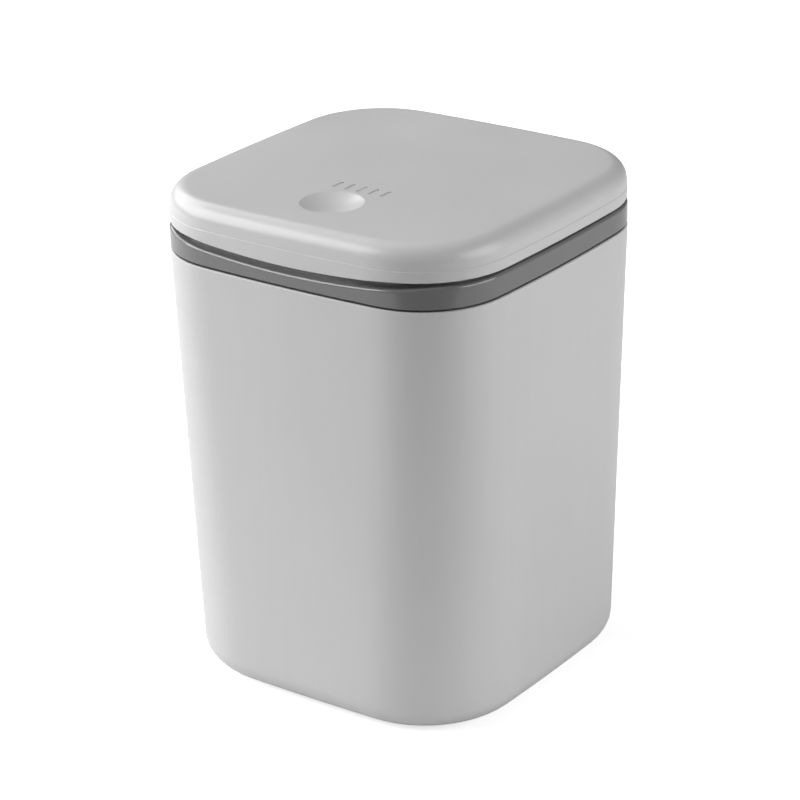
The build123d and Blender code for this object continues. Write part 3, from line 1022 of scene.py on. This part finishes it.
    def add_deck(self, tool: Workpiece) -> None:
        """Adds the latch deck with its screw bosses and gussets.

        Args:
            tool: The workpiece that gets them.
        """
        foot_z = self.deck_z - self.deck_thickness
        wall_y = -self.mouth_half
        front = wall_y - self.neck_wall / 2
        edge = wall_y + self.deck_reach
        deck = tool.block((-self.deck_half, self.deck_half), (front, edge), (foot_z, self.deck_z))
        corners = [corner for corner in along(Z, deck) if corner.verts[0].co.y > wall_y]
        tool.soften(corners, self.deck_corner, segments=8)
        for top in self.screw_tops():
            tool.rod(self.boss_radius, top - self.boss_depth * UP, top)
        for side in SIDES:
            web = side * (self.deck_half - self.deck_corner - self.gusset_thickness)
            x = web - self.gusset_thickness / 2
            tool.prism([Vector((x, front, foot_z)), Vector((x, edge - self.neck_wall, foot_z)),
                        Vector((x, front, foot_z - self.gusset_height))],
                       Vector((self.gusset_thickness, 0, 0)))

    def screw_tops(self) -> list[Vector]:
        """Finds where the axes of the latch's screws meet the deck.

        Returns:
            The two points.
        """
        low, high = box_mm("latch_screws")
        head = (high.y - low.y) / 2
        y = (low.y + high.y) / 2
        return [Vector((side * (high.x - head), y, self.deck_z)) for side in SIDES]

    def holes(self) -> bpy.types.Object:
        """Makes the tool for the pin's holes, the latch's window and its pilot holes.

        Returns:
            The tool.
        """
        tool = Workpiece()
        pin_low, pin_high = box_mm("hinge_pin")
        pin = middle_mm("hinge_pin")
        reach = Vector((pin_high.x + BEYOND, 0, 0))
        tool.rod((pin_high.z - pin_low.z) / 2 + self.pin_fit, pin - reach, pin + reach, sides=32)
        low, _ = box_mm("collar_frame")
        housing_low, housing_high = box_mm("latch_housing")
        window = self.housing_half + self.housing_fit
        tool.block((-window, window),
                   (housing_low.y - self.housing_fit, housing_high.y + self.housing_fit),
                   (low.z - BEYOND, self.deck_z + BEYOND))
        for top in self.screw_tops():
            tool.rod(self.pilot_radius, top - self.pilot_depth * UP, top + BEYOND * UP, sides=24)
        return tool.finish("holes")

    def build(self) -> None:
        """Makes and dresses the collar."""
        collar = self.ring()
        combine(collar, self.rear_gap(), Join.CUT)
        combine(collar, self.shelf(), Join.ADD)
        combine(collar, self.fittings(), Join.ADD)
        combine(collar, self.holes(), Join.CUT)
        shade(collar)
        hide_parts("collar_frame")
        self.dresser.dress(collar, Slot.COLLAR, Body.COLLAR)


@dataclass
class Lid(SubAssembly):
    """Lid shell with its dimple and lip, and what is screwed inside it."""

    corner: float = 35.6
    bow: float = 975.0
    wall: float = 2.0
    edge_round: float = 6.6
    foot_round: float = 0.4
    lip: Sag = Sag(2.1, 430.0)
    flat_gap: float = 9.0
    seam_rise: float = 4.0
    seam_step: float = 0.14
    dimple_inset: float = 29.45
    dimple_radius: float = 11.6
    dimple_depth: float = 2.9
    dimple_round: float = 0.4
    mark_place: Span = (0.8, -24.1)
    mark_bars: int = 5
    mark_pitch: float = 5.2
    mark_length: float = 6.4
    mark_width: float = 1.7
    mark_depth: float = 0.35
    mark_end_share: float = 0.49
    screw_head: float = 1.9
    boss_radius: float = 3.0
    boss_overlap: float = 0.5
    pilot_radius: float = 0.85
    pilot_depth: float = 3.0
    notch_half: float = 39.2
    notch_play: float = 9.0
    notch_rise: float = 5.2

    def shell(self) -> bpy.types.Object:
        """Makes the lid shell.

        Returns:
            The shell, not dressed.
        """
        low, high = box_mm("lid_shell")
        outline = BowedSquare(high.x, self.corner, self.bow)
        foot = low.z + self.lip.depth
        roof = high.z - self.wall
        seam = foot + self.seam_rise
        work = Workpiece()
        work.sweep(outline, {
            "roof": (self.flat_gap, roof), "roof_edge": (self.wall, roof),
            "foot_inside": (self.wall, foot), "foot": (0, foot), "seam": (0, seam),
            "seam_top": (self.seam_step, seam + self.seam_step),
            "top_edge": (self.seam_step, high.z), "top": (self.flat_gap, high.z)})
        work.sink("foot", self.lip)
        work.sink("foot_inside", self.lip)
        ball = (self.dimple_radius ** 2 + self.dimple_depth ** 2) / (2 * self.dimple_depth)
        centre = Vector((0, self.dimple_inset - high.x, high.z - self.dimple_depth + ball))
        work.bowl("dimple", centre, ball, high.z)
        work.bowl("dimple_inside", centre, ball + self.wall, roof)
        work.bridge("top", "dimple")
        work.bridge("roof", "dimple_inside")
        work.soften(work.loop("top_edge"), self.edge_round, segments=12)
        work.soften(work.loop("roof_edge"), self.edge_round - self.wall, segments=8)
        work.soften(work.loop("foot"), self.foot_round, segments=3)
        work.soften(work.loop("dimple"), self.dimple_round, segments=3)
        lid = work.finish("lid_cover")
        combine(lid, self.bosses(), Join.ADD)
        combine(lid, self.cuts(), Join.CUT)
        return shade(lid)

    def screws(self) -> list[Vector]:
        """Finds the middles of the four corner screws and of the front one.

        Returns:
            The middles, at level 0.
        """
        low, high = box_mm("lid_screws")
        corner = high.x - self.screw_head
        places = [Vector((x * corner, y * corner, 0)) for x in SIDES for y in SIDES]
        places.append(Vector((0, low.y + self.screw_head, 0)))
        return places

    def bosses(self) -> bpy.types.Object:
        """Makes the screw bosses between the panel and the roof.

        Returns:
            The bosses, as one tool.
        """
        foot = box_mm("lid_panel")[1].z
        top = box_mm("lid_shell")[1].z - self.wall + self.boss_overlap
        tool = Workpiece()
        for place in self.screws():
            tool.rod(self.boss_radius, place + foot * UP, place + top * UP, sides=40)
        return tool.finish("bosses")

    def cuts(self) -> bpy.types.Object:
        """Makes the tool for the rear notch, the pilot holes and the thumb's grooves.

        Returns:
            The tool.
        """
        tool = Workpiece()
        low, high = box_mm("lid_shell")
        pin = middle_mm("hinge_pin")
        tool.block((-self.notch_half, self.notch_half), (pin.y - self.notch_play, high.y + BEYOND),
                   (low.z - BEYOND, pin.z + self.notch_rise))
        foot = box_mm("lid_panel")[1].z
        for place in self.screws():
            tool.rod(self.pilot_radius, place + (foot - BEYOND) * UP,
                     place + (foot + self.pilot_depth) * UP, sides=24)
        x, y = self.mark_place
        for bar in range(self.mark_bars):
            middle = x + (bar - (self.mark_bars - 1) / 2) * self.mark_pitch
            groove = tool.block((middle - self.mark_width / 2, middle + self.mark_width / 2),
                                (y - self.mark_length / 2, y + self.mark_length / 2),
                                (high.z - self.mark_depth, high.z + BEYOND))
            tool.soften(along(Z, groove), self.mark_width * self.mark_end_share)
        return tool.finish("cuts")

    def build(self) -> None:
        """Makes and dresses the lid."""
        shell = self.shell()
        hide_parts("lid_shell")
        self.dresser.dress(shell, Slot.LID, Body.LID)
        self.carry("lid_panel", Slot.LID, Body.LID)
        self.carry("lid_striker", Slot.SLIDER, Body.LID)
        self.carry("lid_screws", Slot.STEEL, Body.LID)
        self.carry("lid_bumper_left", Slot.RUBBER, Body.LID)
        self.carry("lid_bumper_right", Slot.RUBBER, Body.LID)


@dataclass
class Latch(SubAssembly):
    """Push latch under the collar's front deck."""

    def build(self) -> None:
        """Dresses the latch's pieces."""
        self.carry("latch_housing", Slot.LATCH, Body.COLLAR)
        self.carry("latch_slider", Slot.SLIDER, Body.SLIDER)
        self.carry("latch_spring", Slot.STEEL, Body.COLLAR)
        self.carry("latch_cam_pin", Slot.STEEL, Body.COLLAR)
        self.carry("latch_screws", Slot.STEEL, Body.COLLAR)


@dataclass
class Hinge(SubAssembly):
    """Pin and torsion springs at the back."""

    def build(self) -> None:
        """Dresses the hinge's pieces."""
        for node in ("hinge_pin", "hinge_spring_left", "hinge_spring_right"):
            self.carry(node, Slot.STEEL, Body.COLLAR)


# ---------------------------------------------------------------------------- studio


@dataclass(frozen=True)
class Lamp:
    """Rectangular soft lamp that faces the bin."""

    name: str
    place: tuple[float, float, float]
    wide: float
    high: float
    power: float
    aim: tuple[float, float, float] = (0.0, 0.0, 0.1)

    def build(self) -> bpy.types.Object:
        """Makes the lamp.

        Returns:
            The lamp.
        """
        data = bpy.data.lights.new(self.name, "AREA")
        data.shape = "RECTANGLE"
        data.size = self.wide
        data.size_y = self.high
        data.energy = self.power
        lamp = bpy.data.objects.new(self.name, data)
        bpy.context.scene.collection.objects.link(lamp)
        lamp.location = self.place
        way = Vector(self.aim) - Vector(self.place)
        lamp.rotation_euler = way.to_track_quat("-Z", "Y").to_euler()
        return lamp


@dataclass
class Studio:
    """Camera at the photograph's angle, pale floor, soft lamps. Sizes are in metres."""

    azimuth: float = 35.886
    elevation: float = 22.749
    roll: float = -1.313
    distance: float = 1.1058
    image_pixels: int = 800
    focal_pixels: float = 2959.7
    sensor: float = 36.0                   # mm
    reach: float = 20.0
    target: tuple[float, float, float] = (-0.00056, -0.00204, 0.10051)
    floor_half: float = 8.0
    floor_front: float = 0.45
    paper_shade: float = 0.8
    paper_rough: float = 0.9
    paper_glow: Span = (0.65, 1.0)         # near the bin, far from it
    paper_fade: Span = (1.0, 2.0)          # where near ends and far begins
    world_levels: Span = (0.04, 1.0)       # for the bin, for the camera
    lamps: list[Lamp] = field(default_factory=lambda: [
        Lamp("left_box", (-1.7, 0.1, 1.1), 1.8, 1.4, 28.0),
        Lamp("front_left_box", (-1.3, -1.1, 1.1), 1.2, 1.4, 34.0),
        Lamp("right_box", (1.76, 0.42, 0.7), 1.6, 1.4, 25.5),
        Lamp("top_box", (0.0, 0.0, 1.8), 1.4, 1.4, 2.5),
    ])

    def camera(self) -> bpy.types.Object:
        """Makes the camera.

        Returns:
            The camera, which is also the scene's.
        """
        data = bpy.data.cameras.new("camera")
        data.sensor_width = self.sensor
        data.lens = self.focal_pixels * self.sensor / self.image_pixels
        data.clip_end = self.reach
        camera = bpy.data.objects.new("camera", data)
        bpy.context.scene.collection.objects.link(camera)
        turn = Matrix.Rotation(math.radians(self.azimuth), 4, "Z")
        tilt = Matrix.Rotation(math.radians(90 - self.elevation), 4, "X")
        roll = Matrix.Rotation(math.radians(self.roll), 4, "Z")
        back = Matrix.Translation((0, 0, self.distance))
        camera.matrix_world = Matrix.Translation(self.target) @ turn @ tilt @ roll @ back
        bpy.context.scene.camera = camera
        return camera

    def floor(self) -> bpy.types.Object:
        """Makes the pale floor, a sheet that ends a little way in front of the bin.

        Returns:
            The floor.
        """
        shape = bmesh.new()
        turn = Matrix.Rotation(math.radians(self.azimuth), 4, "Z")
        place = turn @ Matrix.Translation((0, self.floor_half - self.floor_front, 0))
        bmesh.ops.create_grid(shape, x_segments=1, y_segments=1, size=self.floor_half, matrix=place)
        floor = place_mesh("floor", shape)
        floor.data.materials.append(self.paper())
        return floor

    def paper(self) -> bpy.types.Material:
        """Builds the floor's material.

        For the camera it also glows, more so far away, where the lamps don't reach it.

        Returns:
            The material.
        """
        material = bpy.data.materials.new("floor_paper")
        graph = NodeGraph(material)
        shader = graph.add("BsdfPrincipled", in_Base_Color=grey(self.paper_shade),
                           in_Roughness=self.paper_rough, in_Specular_IOR_Level=0.0)
        away = graph.add("VectorMath", operation="LENGTH")
        graph.link(graph.add("TexCoord").outputs["Object"], away.inputs["Vector"])
        near, far = self.paper_fade
        weak, strong = self.paper_glow
        level = graph.add("MapRange", in_From_Min=near, in_From_Max=far,
                          in_To_Min=weak, in_To_Max=strong)
        graph.link(away.outputs["Value"], level.inputs["Value"])
        seen = graph.add("Math", operation="MULTIPLY")
        graph.link(graph.add("LightPath").outputs["Is Camera Ray"], seen.inputs[0])
        graph.link(level.outputs["Result"], seen.inputs[1])
        glow = graph.add("Emission")
        graph.link(seen.outputs["Value"], glow.inputs["Strength"])
        both = graph.add("AddShader")
        graph.link(shader.outputs["BSDF"], both.inputs[0])
        graph.link(glow.outputs["Emission"], both.inputs[1])
        output = graph.add("OutputMaterial")
        graph.link(both.outputs["Shader"], output.inputs["Surface"])
        return material

    def world(self) -> None:
        """Makes the world: a dim room that the camera sees as white."""
        world = bpy.data.worlds.new("studio")
        graph = NodeGraph(world)
        mix = graph.add("MixShader")
        graph.link(graph.add("LightPath").outputs["Is Camera Ray"], mix.inputs["Fac"])
        for number, level in enumerate(self.world_levels, 1):
            light = graph.add("Background", in_Color=grey(1.0), in_Strength=level)
            graph.link(light.outputs["Background"], mix.inputs[number])
        output = graph.add("OutputWorld")
        graph.link(mix.outputs["Shader"], output.inputs["Surface"])
        bpy.context.scene.world = world

    def build(self) -> None:
        """Makes camera, floor, lamps and world, and sets the view transform."""
        bpy.context.scene.view_settings.view_transform = "Standard"
        self.camera()
        self.floor()
        for lamp in self.lamps:
            lamp.build()
        self.world()


def main() -> None:
    """Builds the studio and every sub-assembly in order."""
    logging.basicConfig(level=logging.INFO, format="%(name)s: %(message)s")
    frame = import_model()
    Studio().build()
    dresser = Dresser()
    for kind in (Bucket, Collar, Lid, Latch, Hinge):
        kind(dresser, frame["nodes"]).build()


if __name__ == "__main__":
    main()
